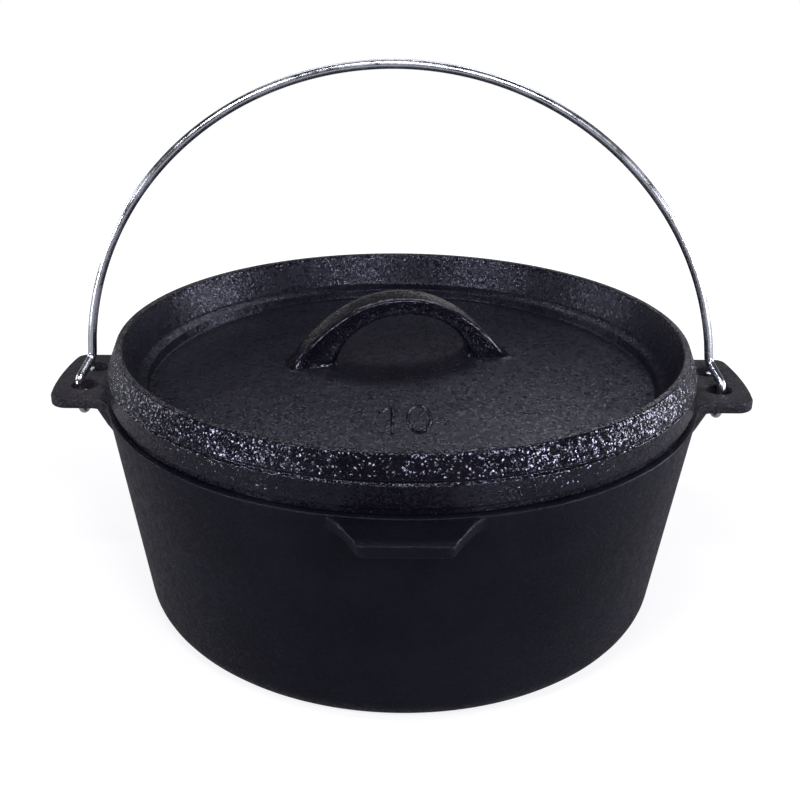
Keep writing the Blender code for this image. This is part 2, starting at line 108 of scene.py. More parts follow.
class Bench:
    """The modelling operators, each run on a clean selection."""

    seed_size = 0.001
    weld = 0.00001

    @staticmethod
    def leave() -> None:
        """Leaves edit mode."""
        bpy.ops.object.mode_set(mode="OBJECT")

    @staticmethod
    def clear() -> None:
        """Leaves edit mode and deselects everything."""
        if bpy.context.object is not None and bpy.context.object.mode != "OBJECT":
            Bench.leave()
        bpy.ops.object.select_all(action="DESELECT")

    @staticmethod
    def take(piece: Piece) -> None:
        """Makes one piece the only selected and the active one.

        Args:
            piece: The object to work on.
        """
        Bench.clear()
        piece.select_set(True)
        bpy.context.view_layer.objects.active = piece

    @staticmethod
    def select() -> None:
        """Selects everything in edit mode."""
        bpy.ops.mesh.select_all(action="SELECT")

    @staticmethod
    def edit(piece: Piece) -> None:
        """Opens a piece in edit mode with everything selected.

        Args:
            piece: The object to open.
        """
        Bench.take(piece)
        bpy.ops.object.mode_set(mode="EDIT")
        bpy.ops.mesh.select_mode(type="VERT")
        Bench.select()

    @staticmethod
    def turn(angle: float, axis: str, centre: Place = ORIGIN) -> None:
        """Turns the selection by an angle in radians, by the right-hand rule."""
        bpy.ops.transform.rotate(value=-angle, orient_axis=axis, center_override=centre)

    @staticmethod
    def extrude(step: Place = ORIGIN) -> None:
        """Extrudes the selection by a step."""
        bpy.ops.mesh.extrude_region_move(TRANSFORM_OT_translate={"value": step})

    @staticmethod
    def square(name: str, size: float) -> Piece:
        """Adds a flat square at the origin and leaves it in edit mode.

        Args:
            name: The new object's name.
            size: The length of its sides.

        Returns:
            The new object.
        """
        Bench.clear()
        bpy.ops.mesh.primitive_plane_add(size=size, location=ORIGIN)
        piece = bpy.context.object
        piece.name = name
        piece.data.name = name
        Bench.edit(piece)
        return piece

    @staticmethod
    def trace(name: str, points: Sequence[Point], closed: bool = False) -> Piece:
        """Draws a line by extruding a point from each place to the next.

        Args:
            name: The new object's name.
            points: The places that the line passes through.
            closed: Whether the line closes on itself as a face.

        Returns:
            The new object, in edit mode with everything selected.
        """
        piece = Bench.square(name, Bench.seed_size)
        bpy.ops.mesh.merge(type="CENTER")
        bpy.ops.transform.translate(value=points[0])
        for here, there in zip(points, points[1:]):
            Bench.extrude(Vector(there) - Vector(here))
        Bench.select()
        if closed:
            bpy.ops.mesh.edge_face_add()
        return piece

    @staticmethod
    def turned(name: str, section: Sequence[Pair], steps: int) -> Piece:
        """Turns a section of (radius, height) pairs round the Z axis into a closed body.

        Args:
            name: The new object's name.
            section: The section, from a point on the axis to another one.
            steps: The number of steps in the full turn.

        Returns:
            The new object, in object mode.
        """
        piece = Bench.trace(name, [(r, 0.0, z) for r, z in section])
        bpy.ops.mesh.spin(steps=steps, angle=2 * math.pi, center=ORIGIN, axis=(0, 0, 1))
        Bench.close()
        return piece

    @staticmethod
    def close() -> None:
        """Welds the doubles of the piece in edit mode, turns its faces outwards and leaves edit mode."""
        Bench.select()
        bpy.ops.mesh.remove_doubles(threshold=Bench.weld)
        bpy.ops.mesh.normals_make_consistent(inside=False)
        Bench.leave()

    @staticmethod
    def pick(piece: Piece, wanted: Callable[[object], bool], kind: Kind = Kind.EDGE) -> int:
        """Selects the edges or faces that a test accepts, in edit mode.

        Args:
            piece: The object that is in edit mode.
            wanted: The test of an edge or a face.
            kind: Which of them are tested.

        Returns:
            How many are selected.
        """
        bpy.ops.mesh.select_mode(type=kind.value)
        bpy.ops.mesh.select_all(action="DESELECT")
        mesh = bmesh.from_edit_mesh(piece.data)
        picked = [part for part in (mesh.edges if kind is Kind.EDGE else mesh.faces) if wanted(part)]
        for part in picked:
            part.select_set(True)
        bmesh.update_edit_mesh(piece.data)
        return len(picked)

    @staticmethod
    def merge(piece: Piece, other: Piece, join: Join = Join.ADD) -> None:
        """Joins another closed body to a piece, or cuts it away, and removes it.

        Args:
            piece: The object that is kept.
            other: The object that is used up.
            join: Whether it is added or cut away.
        """
        Bench.take(piece)
        modifier = piece.modifiers.new("merge", "BOOLEAN")
        modifier.operation = join.value
        modifier.solver = "EXACT"
        modifier.object = other
        bpy.ops.object.modifier_apply(modifier=modifier.name)
        bpy.data.objects.remove(other, do_unlink=True)

    @staticmethod
    def wire(name: str, points: Sequence[Point], radius: float, sides: int) -> Piece:
        """Makes a closed round bar along a line, or a ring where the line ends at its start.

        Args:
            name: The bar's name.
            points: The places that its middle passes through.
            radius: The bar's radius.
            sides: A quarter of the number of faces round the bar.

        Returns:
            The bar.
        """
        Bench.trace(name, points)
        bpy.ops.mesh.remove_doubles(threshold=Bench.weld)
        Bench.leave()
        bpy.ops.object.convert(target="CURVE")
        curve = bpy.context.object.data
        curve.bevel_depth = radius
        curve.bevel_resolution = sides - 1
        curve.use_fill_caps = True
        bpy.ops.object.convert(target="MESH")
        wire = bpy.context.object
        Bench.edit(wire)
        Bench.close()
        return wire

    @staticmethod
    def shade(piece: Piece, degrees: float) -> None:
        """Shades a piece smooth, except over the edges that turn by more than an angle."""
        Bench.take(piece)
        bpy.ops.object.shade_smooth_by_angle(angle=math.radians(degrees))

    @staticmethod
    def soften(piece: Piece, near: Callable[[Vector], bool], grow: int, repeat: int) -> None:
        """Rounds the inner corners where cast shapes meet, as the sand does.

        Args:
            piece: The casting.
            near: The test of where corners are rounded.
            grow: How many rings of points round each corner move.
            repeat: How many times they are evened out.
        """
        Bench.edit(piece)

        def wanted(edge: bmesh.types.BMEdge) -> bool:
            """Accepts a hollow corner between two faces."""
            if len(edge.link_faces) != 2 or edge.calc_face_angle_signed(0.0) > -HOLLOW:
                return False
            return near((edge.verts[0].co + edge.verts[1].co) / 2)

        count = Bench.pick(piece, wanted)
        bpy.ops.mesh.select_mode(type="VERT")
        for _ in range(grow):
            bpy.ops.mesh.select_more()
        if count:
            bpy.ops.mesh.vertices_smooth(factor=0.5, repeat=repeat)
        Bench.leave()
        LOG.info("softened %d inner edges of %s", count, piece.name)


def fillet(before: Place, corner: Place, after: Place, radius: float, steps: int) -> list:
    """Rounds one corner of a line.

    Args:
        before: The point before the corner.
        corner: The corner.
        after: The point after the corner.
        radius: The radius of the round.
        steps: The number of steps along the round.

    Returns:
        The points of the round as tuples, or only the corner where nothing is to be rounded.
    """
    corner = Vector(corner)
    back = Vector(before) - corner
    ahead = Vector(after) - corner
    angle = back.angle(ahead)
    if radius <= 0 or angle > STRAIGHT:
        return [tuple(corner)]
    reach = min(radius / math.tan(angle / 2), SIDE_SHARE * back.length, SIDE_SHARE * ahead.length)
    radius = reach * math.tan(angle / 2)
    start = corner + back.normalized() * reach
    end = corner + ahead.normalized() * reach
    centre = corner + (back.normalized() + ahead.normalized()).normalized() * (radius / math.sin(angle / 2))
    points = []
    for i in range(steps + 1):
        mixed = start.lerp(end, i / steps) - centre
        points.append(tuple(centre + mixed.normalized() * radius))
    return points


def softened(corners: Sequence[Point], steps: int) -> list[Pair]:
    """Rounds the corners of a section or a plan.

    Args:
        corners: The corners, each with its rounding as the third number.
        steps: The number of steps along each round.

    Returns:
        The line's points.
    """
    points = [corners[0][:2]]
    for before, corner, after in zip(corners, corners[1:], corners[2:]):
        points += fillet(before[:2], corner[:2], after[:2], corner[2], steps)
    points.append(corners[-1][:2])
    return points


def filled(section: Sequence[Pair], longest: float) -> list[Pair]:
    """Adds points along a section's long lines.

    Args:
        section: The section's points.
        longest: The longest step.

    Returns:
        The section with more points.
    """
    points = [tuple(section[0])]
    for here, there in zip(section, section[1:]):
        start = Vector(here)
        end = Vector(there)
        count = max(1, math.ceil((end - start).length / longest))
        points += [tuple(start.lerp(end, i / count)) for i in range(1, count + 1)]
    return points


@dataclass
class PotCasting:
    """The pot with its pierced ears, gussets and lifting tab."""

    rim_radius: float = 0.1330
    rim_height: float = 0.1010
    wall_lean: float = 0.0145
    wall: float = 0.0048
    floor: float = 0.0052
    base_corner: float = 0.0125
    rim_rounding: float = 0.0009
    ear_reach: float = 0.02535
    ear_half_width: float = 0.0271
    plate: float = 0.0052
    ear_drop: float = 0.0004
    back_corner: float = 0.0080
    front_corner: float = 0.0140
    ear_fillet: float = 0.0100
    ear_end_steps: int = 12
    hole_radius: float = 0.0061
    hole_offset: float = 0.0110
    hole_ease: float = 0.0004
    bar_width: float = 0.0095
    gusset_reach: float = 0.0074
    gusset_depth: float = 0.0250
    gusset_root: float = 0.0035
    gusset_sink: float = 0.0008
    gusset_fillet: float = 0.0070
    gusset_half_angle: float = math.radians(10.4)
    gusset_fade: float = math.radians(2.4)
    gusset_least: float = 0.30
    gusset_steps: int = 26
    tab_reach: float = 0.0174
    tab_root: float = 0.0280
    tab_tip: float = 0.0166
    tab_corner: float = 0.0050
    edge_rounding: float = 0.0011
    steps: int = 240
    section_step: float = 0.004
    gusset_step: float = 0.0022
    margin: float = 0.006
    ear_angle: float = 21.0
    ear_span: Pair = (0.100, 0.110)
    proud_span: Pair = (0.0006, 0.0040)
    smooth_angle: float = 38.0

    @property
    def plate_top(self) -> float:
        """The height of the ears' and the tab's upper faces."""
        return self.rim_height - self.ear_drop

    @property
    def under(self) -> float:
        """The height of the ears' and the tab's undersides."""
        return self.plate_top - self.plate

    @property
    def root_radius(self) -> float:
        """The radius of the middle of the wall at the rim."""
        return self.rim_radius - self.wall / 2

    def outside(self, height: float) -> float:
        """Returns the wall's outer radius at a height."""
        return self.rim_radius - self.wall_lean * (1 - height / self.rim_height)

    def body(self) -> Piece:
        """Turns the pot's plain round body.

        Returns:
            The body.
        """
        mouth = self.rim_radius - self.wall
        inner = self.base_corner - self.wall / 3
        corners = [
            (0.0, self.floor, 0.0),
            (self.outside(self.floor) - self.wall, self.floor, inner),
            (mouth, self.rim_height, self.rim_rounding),
            (self.rim_radius, self.rim_height, self.rim_rounding),
            (self.outside(0.0), 0.0, self.base_corner),
            (0.0, 0.0, 0.0),
        ]
        return Bench.turned("pot_casting", filled(softened(corners, steps=10), self.section_step), self.steps)

    def outline(self, side: int) -> list[Pair]:
        """Draws an ear's plan, rooted inside the wall.

        Args:
            side: 1 for the ear at +X and -1 for the one at -X.

        Returns:
            The plan's points.
        """
        tip = self.rim_radius + self.ear_reach
        half = self.ear_half_width
        swell = half + self.ear_fillet
        back = math.sqrt(self.root_radius**2 - swell**2)
        side_x = math.sqrt(self.rim_radius**2 - half**2)
        end_x = math.sqrt(tip**2 - half**2)
        back_end = math.asin((half - self.back_corner) / tip)
        front_end = math.asin((half - self.front_corner) / tip)
        cap = []
        for i in range(self.ear_end_steps + 1):
            angle = back_end + (-front_end - back_end) * i / self.ear_end_steps
            cap.append((tip * math.cos(angle), tip * math.sin(angle)))
        behind = [
            (back, swell + AHEAD, 0.0),
            (side_x, half, self.ear_fillet),
            (end_x, half, self.back_corner),
            (*cap[0], 0.0),
        ]
        before = [
            (*cap[-1], 0.0),
            (end_x, -half, self.front_corner),
            (side_x, -half, self.ear_fillet),
            (back, -swell - AHEAD, 0.0),
        ]
        line = [(back, swell), *softened(behind, ROUND_STEPS)[1:-1], *cap]
        line += [*softened(before, ROUND_STEPS)[1:-1], (back, -swell)]
        return [(side * x, y) for x, y in line]

    def plate_from(self, name: str, plan: Sequence[Pair]) -> Piece:
        """Raises a flat plate with rounded edges on a plan.

        Args:
            name: The plate's name.
            plan: The plan's points.

        Returns:
            The plate.
        """
        piece = Bench.trace(name, [(x, y, self.under) for x, y in plan], closed=True)
        Bench.extrude((0, 0, self.plate))
        Bench.select()
        bpy.ops.mesh.normals_make_consistent(inside=False)
        levels = (self.under, self.under + self.plate)

        def border(edge: bmesh.types.BMEdge) -> bool:
            """Accepts the edges round the plate's two faces."""
            flat = any(all(abs(v.co.z - level) < 1e-6 for v in edge.verts) for level in levels)
            return flat and edge.calc_face_angle(0.0) > SHARP

        Bench.pick(piece, border)
        bpy.ops.mesh.bevel(offset=self.edge_rounding, segments=4, clamp_overlap=True)
        Bench.select()
        bpy.ops.mesh.quads_convert_to_tris()
        Bench.close()
        return piece

    def hole_cutter(self, x: float, y: float) -> Piece:
        """Turns the cutter of one ear hole, with the edges of the hole eased.

        Args:
            x: The hole's place along X.
            y: The hole's place along Y.

        Returns:
            The cutter.
        """
        half = self.plate / 2
        middle = self.plate_top - half
        ease = self.hole_ease
        hole = self.hole_radius
        upper = [
            (hole, half - ease),
            (hole + 0.3 * ease, half - 0.35 * ease),
            (hole + ease, half),
            (hole + 2 * ease, half + ease),
            (hole + 2 * ease, 3 * half),
            (0.0, 3 * half),
        ]
        section = [(r, middle - z) for r, z in reversed(upper)] + [(r, middle + z) for r, z in upper]
        piece = Bench.turned("hole_cutter", section, steps=40)
        Bench.edit(piece)
        bpy.ops.transform.translate(value=(x, y, 0))
        Bench.leave()
        return piece

    def gusset(self, side: int) -> Piece:
        """Sweeps the rib under an ear, fading into the wall at both ends.

        Args:
            side: 1 for the ear at +X and -1 for the one at -X.

        Returns:
            The rib.
        """
        foot = self.under - self.gusset_depth
        inner = self.root_radius - self.gusset_root
        toe = (self.outside(foot) - self.gusset_sink, foot)
        corner = (self.rim_radius + self.gusset_reach, self.under)
        bend = fillet((corner[0] + AHEAD, self.under), corner, toe, self.gusset_fillet, ROUND_STEPS)
        top = self.under + self.plate / 2
        line = [(inner, top), (bend[0][0], top), *bend, toe, (inner - 0.006, foot)]
        section = filled(line, self.gusset_step)
        reach = self.gusset_half_angle + self.gusset_fade
        step = 2 * reach / self.gusset_steps
        piece = Bench.trace("gusset", [(r, 0.0, z) for r, z in section], closed=True)
        middle = (inner - 0.004, 0.0, self.under - self.gusset_depth / 2)
        Bench.turn(-reach, "Z")
        size = 1.0

        def height(angle: float) -> float:
            """Returns how far the rib stands out at an angle, up to 1."""
            fade = min(1.0, max(0.0, (reach - abs(angle)) / (2 * self.gusset_fade)))
            return self.gusset_least + (1 - self.gusset_least) * fade * fade * (3 - 2 * fade)

        for i in range(self.gusset_steps + 1):
            angle = step * i - reach
            if i:
                Bench.extrude()
                Bench.turn(step, "Z")
            Bench.turn(-angle, "Z")
            wanted = height(angle)
            bpy.ops.transform.resize(value=(wanted / size, 1, 1), center_override=middle)
            size = wanted
            Bench.turn(angle, "Z")
        Bench.select()
        if side < 0:
            Bench.turn(math.pi, "Z")
        Bench.close()
        return piece

    def tab(self) -> Piece:
        """Makes the lifting tab at -Y.

        Returns:
            The tab.
        """
        root = -math.sqrt(self.root_radius**2 - self.tab_root**2)
        tip = -(self.rim_radius + self.tab_reach)
        corners = [
            (-self.tab_root, root, 0.0),
            (-self.tab_tip, tip, self.tab_corner),
            (self.tab_tip, tip, self.tab_corner),
            (self.tab_root, root, 0.0),
        ]
        return self.plate_from("tab", softened(corners, ROUND_STEPS))

    def plate_zone(self, graph: "Graph") -> Socket:
        """Finds the ears, with their gussets.

        Args:
            graph: The material's nodes.

        Returns:
            1 on what stands out from the wall at the sides and 0 elsewhere.
        """
        x, radius, height = graph.parts()
        side = graph.span(graph.math("ABSOLUTE", x), self.ear_span)
        slope = self.wall_lean / self.rim_height
        wall = graph.math("ADD", graph.math("MULTIPLY", height, slope), self.rim_radius - self.wall_lean)
        out = graph.span(graph.math("SUBTRACT", radius, wall), self.proud_span)
        return graph.math("MULTIPLY", side, out)

    def densify(self, piece: Piece) -> None:
        """Splits the body's faces where ears and tab will meet it.

        Args:
            piece: The turned body.
        """

        def wanted(face: bmesh.types.BMFace) -> bool:
            """Accepts the wall's outer faces by the ears and the tab."""
            x, y, z = face.calc_center_median()
            angle = math.degrees(math.atan2(y, abs(x)))
            by_ear = abs(angle) < self.ear_angle and z > self.under - self.gusset_depth - self.margin
            by_tab = abs(x) < self.tab_root + self.margin and y < 0 and z > self.plate_top - 0.013
            return math.hypot(x, y) > self.outside(z) - 0.002 and (by_ear or by_tab)

        Bench.edit(piece)
        Bench.pick(piece, wanted, Kind.FACE)
        bpy.ops.mesh.subdivide(number_cuts=2)
        Bench.leave()

    def build(self) -> Piece:
        """Builds the whole casting.

        Returns:
            The casting.
        """
        piece = self.body()
        self.densify(piece)
        hole_x = self.rim_radius + self.hole_offset
        hole_y = self.bar_width / 2 + self.hole_radius
        for side in (1, -1):
            Bench.merge(piece, self.plate_from("ear", self.outline(side)))
            Bench.merge(piece, self.gusset(side))
        Bench.merge(piece, self.tab())
        for side in (1, -1):
            for y in (hole_y, -hole_y):
                Bench.merge(piece, self.hole_cutter(side * hole_x, y), Join.CUT)

        def near(place: Vector) -> bool:
            """Accepts places under the ears and the tab, and up their sides."""
            away = math.hypot(place.x, place.y) > self.outside(place.z) - 0.0015
            return away and self.under - self.gusset_depth - 0.01 < place.z < self.plate_top - 0.0006

        Bench.soften(piece, near, grow=2, repeat=6)
        Bench.shade(piece, self.smooth_angle)
        return piece


@dataclass
class LidCasting:
    """The lid with its raised rim, strap handle and raised number."""

    rim_radius: float = 0.1330
    rim_height: float = 0.1010
    mouth_radius: float = 0.1282
    thickness: float = 0.0040
    seat_gap: float = 0.0003
    band_inset: float = 0.0014
    band_lift: float = 0.0032
    band_height: float = 0.0100
    groove: float = 0.0008
    flange_height: float = 0.0232
    flange_lean: float = 0.0040
    lip: float = 0.0029
    ledge_inset: float = 0.0101
    ledge_lift: float = 0.0069
    step_inset: float = 0.0029
    panel_lift: float = 0.0015
    dome_rise: float = 0.0090
    plug_clearance: float = 0.0008
    plug_depth: float = 0.0026
    plug_width: float = 0.0042
    panel_rings: int = 56
    under_rings: int = 14
    handle_turn: float = math.radians(10)
    handle_x: float = -0.0022
    handle_y: float = 0.0015
    half_length: float = 0.0510
    rise: float = 0.0310
    curve: float = 2.1
    strap: float = 0.0078
    arch_half_width: float = 0.0305
    arch_shift: float = 0.0015
    half_width: float = 0.0079
    strap_rounding: float = 0.0030
    strap_sink: float = 0.0016
    strap_steps: int = 44
    digit_height: float = 0.0235
    digit_width: float = 0.0112
    stroke: float = 0.0009
    stroke_sink: float = 0.0002
    digit_y: float = -0.0640
    zero_x: float = 0.0062
    zero_steps: int = 40
    one_x: float = -0.0048
    one_step: float = 0.0010
    one_points: int = 24
    flag: float = 0.00504
    flag_drop: float = 0.0062
    flag_bend: float = 0.0036
    feet: Pair = (0.018, 0.066)
    feet_front: float = -0.030
    proud_span: Pair = (0.00015, 0.00050)
    smooth_angle: float = 40.0
    steps: int = 256

    @property
    def lip_radius(self) -> float:
        """The radius of the lip's outer edge."""
        return self.rim_radius - self.band_inset - self.flange_lean

    @property
    def panel_radius(self) -> float:
        """The radius of the domed panel."""
        return self.lip_radius - self.ledge_inset - self.step_inset

    def dome(self, radius: float) -> float:
        """Returns the panel's height over the ground at a radius."""
        share = radius / self.panel_radius
        return self.rim_height + self.panel_lift + self.dome_rise * (1 - share * share)

    def section(self) -> list[Pair]:
        """Draws the lid's section, from the middle of its panel, over its rim, to its underside.

        Returns:
            The section's points.
        """
        base = self.rim_height
        panel = self.panel_radius
        ledge = panel + self.step_inset
        band = self.rim_radius - self.band_inset
        lip = self.lip_radius
        band_top = self.band_lift + self.band_height
        plug = self.mouth_radius - self.plug_clearance
        plug_in = plug - self.plug_width
        seat = self.mouth_radius + 0.0022
        roof = self.ledge_lift - self.thickness - 0.0006
        inside = panel - 0.006
        under_start = panel - 0.004
        corners = [
            (inside, self.dome(inside) - base, 0.0),
            (panel, self.panel_lift, 0.0008),
            (panel + 0.0008, self.ledge_lift - 0.0012, 0.0007),
            (ledge, self.ledge_lift, 0.0010),
            (ledge + 0.0016, self.ledge_lift + 0.0012, 0.0030),
            (lip - self.lip, self.flange_height, 0.0009),
            (lip, self.flange_height, 0.0008),
            (band - self.groove / 2, band_top + 0.0009, 0.0004),
            (band - self.groove - 0.0003, band_top, 0.0005),
            (band, band_top - 0.0010, 0.0006),
            (band, self.band_lift, 0.0009),
            (seat, self.band_lift, 0.0003),
            (seat, self.seat_gap, 0.0002),
            (plug, self.seat_gap, 0.0002),
            (plug, -self.plug_depth, 0.0008),
            (plug_in, -self.plug_depth, 0.0008),
            (plug_in, roof, 0.0009),
            (ledge + 0.0010, roof, 0.0009),
            (ledge + 0.0010, 0.0006 - self.plug_depth, 0.0006),
            (under_start, self.dome(under_start) - base - self.thickness, 0.0),
        ]
        rim = filled(softened(corners, steps=5), longest=0.0022)
        out = [inside * i / self.panel_rings for i in range(self.panel_rings)]
        top = [(radius, self.dome(radius) - base) for radius in out]
        back = [under_start * i / self.under_rings for i in reversed(range(self.under_rings))]
        under = [(radius, self.dome(radius) - base - self.thickness) for radius in back]
        return [(r, z + base) for r, z in top + rim + under]

    def handle(self) -> Piece:
        """Draws the strap handle out through its stations, as one bent bar.

        Returns:
            The handle, with its feet inside the panel.
        """
        crown = self.dome(self.half_length) + self.rise
        foot = self.dome(self.arch_half_width) - self.strap_sink
        arch_rise = crown - self.strap - foot
        stations = []
        for i in range(self.strap_steps + 1):
            t = 2 * i / self.strap_steps - 1
            bend = math.pi * t / 2
            outer = Vector((self.half_length * t, 0, crown - self.rise * abs(t) ** self.curve))
            inner = Vector((0, 0, foot + arch_rise * math.cos(bend)))
            inner.x = self.arch_shift + self.arch_half_width * math.sin(bend)
            stations.append((outer, inner))
        drop = Vector((0, 0, self.strap_sink))
        ends = [tuple(place - drop for place in stations[i]) for i in (0, -1)]
        stations = [ends[0], *stations, ends[1]]
        piece = Bench.square("handle", 1)
        Bench.turn(math.pi / 2, "Y")
        depth = 0.02
        bpy.ops.transform.resize(value=(1, 2 * self.half_width, depth))
        bpy.ops.mesh.bevel(offset=self.strap_rounding, segments=5, affect="VERTICES")
        Bench.select()
        centre = Vector(ORIGIN)
        lean = 0.0
        for i, (outer, inner) in enumerate(stations):
            if i:
                Bench.extrude()
            goal = (outer + inner) / 2
            along = outer - inner
            Bench.turn(-lean, "Y", centre)
            bpy.ops.transform.resize(value=(1, 1, along.length / depth), center_override=centre)
            bpy.ops.transform.translate(value=goal - centre)
            centre = goal
            depth = along.length
            lean = math.atan2(along.x, along.z)
            Bench.turn(lean, "Y", centre)
        Bench.select()
        Bench.turn(self.handle_turn, "Z")
        bpy.ops.transform.translate(value=(self.handle_x, self.handle_y, 0))
        Bench.close()
        return piece

    def number(self) -> list[Piece]:
        """Makes the strokes of the raised size number, as round bars half sunk in the panel.

        Returns:
            The strokes.
        """
        half = self.digit_height / 2
        stem = [(self.one_x, self.digit_y - half + self.one_step * i) for i in range(self.one_points)]
        x, y = stem[-1]
        tick = [(x - self.flag, y - self.flag_drop), (x - self.flag / 2, y - self.flag_bend), (x, y)]
        ring = []
        for i in range(self.zero_steps):
            angle = 2 * math.pi * i / self.zero_steps
            across = self.zero_x + (self.digit_width / 2 - self.stroke) * math.cos(angle)
            ring.append((across, self.digit_y + (half - self.stroke) * math.sin(angle)))
        strokes = []
        for name, line in {"stem": stem, "tick": tick, "ring": [*ring, ring[0]]}.items():
            places = [(x, y, self.dome(math.hypot(x, y)) - self.stroke_sink) for x, y in line]
            strokes.append(Bench.wire(name, places, self.stroke, sides=3))
        return strokes

    def tray_zone(self, graph: "Graph") -> Socket:
        """Returns 1 in the tray, on the plain panel and the inner wall, and 0 on the lip and outside it."""
        inner = self.lip_radius - self.lip
        return graph.span(graph.parts()[1], (inner - 0.0012, inner + 0.0004), (1.0, 0.0))

    def strap_zone(self, graph: "Graph") -> Socket:
        """Finds what stands up from the panel: the handle and the number.

        Args:
            graph: The material's nodes.

        Returns:
            1 on the handle and the number and 0 elsewhere.
        """
        _, radius, height = graph.parts()
        share = graph.math("MULTIPLY", radius, 1 / self.panel_radius)
        fall = graph.math("MULTIPLY", graph.math("MULTIPLY", share, share), self.dome_rise)
        above = graph.math("ADD", graph.math("ADD", height, -self.dome(0.0)), fall)
        high = graph.span(above, self.proud_span)
        inside = graph.span(radius, (self.panel_radius - 0.0100, self.panel_radius - 0.0050), (1.0, 0.0))
        return graph.math("MULTIPLY", high, inside)

    def build(self) -> Piece:
        """Builds the whole casting.

        Returns:
            The casting.
        """
        piece = Bench.turned("lid_casting", self.section(), self.steps)
        Bench.merge(piece, self.handle())
        for stroke in self.number():
            Bench.merge(piece, stroke)

        def near(place: Vector) -> bool:
            """Accepts places where the handle's feet meet the panel."""
            radius = math.hypot(place.x, place.y)
            by_feet = self.feet[0] < radius < self.feet[1] and place.y > self.feet_front
            return by_feet and place.z > self.dome(radius) - 0.001

        Bench.soften(piece, near, grow=3, repeat=8)
        Bench.shade(piece, self.smooth_angle)
        return piece


@dataclass
class WireBail:
    """The bent wire bail with its two hooks."""

    hinge_height: float = 0.0980
    hole_x: float = 0.1440
    wire: float = 0.00199
    outset: float = 0.0022
    shift: float = 0.0006
    leg_inset: float = 0.0039
    centre_lift: float = 0.0010
    leg_straight: float = 0.0045
    kink: float = 0.0120
    kink_angle: float = math.radians(4)
    loop_half_width: float = 0.0100
    loop_depth: float = 0.0120
    tip: float = 0.0025
    bend: float = 0.0060
    kink_bend: float = 0.0045
    bend_steps: int = 10
    lean: float = 0.0040
    arch_points: int = 120
    cut_ease: float = 0.0004
    smooth_angle: float = 50.0

    @property
    def arch_radius(self) -> float:
        """The radius of the round arch."""
        return self.hole_x + self.outset - self.leg_inset

    def arch_point(self, angle: float) -> Vector:
        """Returns the arch's point at an angle from +X."""
        radius = self.arch_radius
        return Vector((radius * math.cos(angle), 0.0, self.centre_lift + radius * math.sin(angle)))

    def leg(self) -> tuple[list[Vector], float]:
        """Draws the leg at +X, from its tip round the ear's bar to the arch.

        Returns:
            The leg's points and the angle at which the arch starts.
        """
        wire_x = self.hole_x + self.outset
        angle = math.asin((self.kink - self.centre_lift) / self.arch_radius)
        above = angle + self.kink_angle
        corners = [
            (wire_x, self.loop_half_width, self.tip),
            (wire_x, self.loop_half_width, -self.loop_depth),
            (wire_x, -self.loop_half_width, -self.loop_depth),
            (wire_x, -self.loop_half_width, self.leg_straight),
            self.arch_point(angle),
            self.arch_point(above),
        ]
        bends = (self.bend, self.bend, self.kink_bend, self.kink_bend)
        path = [corners[0]]
        for before, corner, after, bend in zip(corners, corners[1:], corners[2:], bends):
            path += fillet(before, corner, after, bend, self.bend_steps)
        path.append(corners[-1])
        return [Vector(point) for point in path], above

    def path(self) -> list[Point]:
        """Draws the whole wire's middle line.

        Returns:
            The line's points, at rest.
        """
        right, above = self.leg()
        turn = (math.pi - 2 * above) / self.arch_points
        arch = [self.arch_point(above + turn * i) for i in range(1, self.arch_points)]
        left = [Vector((-p.x, p.y, p.z)) for p in reversed(right)]
        points = []
        for point in right + arch + left:
            height = max(0.0, point.z - self.kink)
            x = point.x - self.shift - self.lean * height / self.arch_radius
            points.append((x, point.y, point.z + self.hinge_height))
        return points

    def build(self) -> Piece:
        """Bends the wire and breaks the sharp edges of its cut ends.

        Returns:
            The wire.
        """
        piece = Bench.wire("bail_wire", self.path(), self.wire, sides=6)
        Bench.edit(piece)
        top = self.hinge_height + self.tip

        def cut_end(edge: bmesh.types.BMEdge) -> bool:
            """Accepts the edges round the wire's two flat ends."""
            return all(abs(v.co.z - top) < 2e-5 for v in edge.verts) and edge.calc_face_angle(0.0) > SHARP

        Bench.pick(piece, cut_end)
        bpy.ops.mesh.bevel(offset=self.cut_ease, segments=2)
        Bench.leave()
        Bench.shade(piece, self.smooth_angle)
        return piece


@dataclass(frozen=True)
class Grain:
    """Fractal noise: its grains to a metre, its number of finer layers and how strong those are."""

    scale: float
    detail: float = 2.0
    rough: float = 0.5


